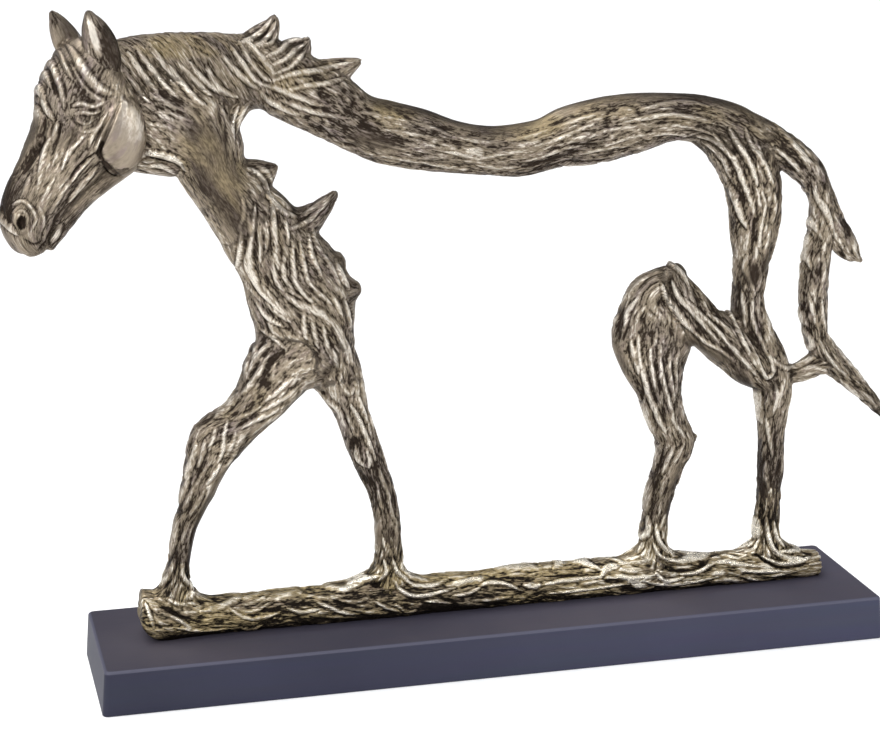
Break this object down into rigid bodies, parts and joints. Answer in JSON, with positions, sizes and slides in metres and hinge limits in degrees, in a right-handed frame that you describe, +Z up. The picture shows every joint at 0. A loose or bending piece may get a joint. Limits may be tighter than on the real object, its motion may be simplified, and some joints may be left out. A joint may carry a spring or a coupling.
{
  "type": "horse sculpture on a plinth",
  "caption": "Openwork walking horse of cast aluminium with bark-like strands, its hooves growing into a ground log on a long painted wood plinth.",
  "frame": {"origin": "centre of the plinth's underside", "axes": "+Z up; +X along the plinth from the horse's nose to its tail; +Y to the horse's far side, away from the side that the nose turns to"},
  "size_m": [0.4984, 0.094, 0.3639],
  "materials": {
    "cast_aluminium": "cast and hand carved strands, champagne silver on the ridges, dark brown patina in the grooves, golden brown on the log",
    "painted_wood": "satin charcoal paint with a blue tone"
  },
  "bodies": {
    "root": {"horse": "cast_aluminium", "plinth": "painted_wood"}
  },
  "joints": []
}
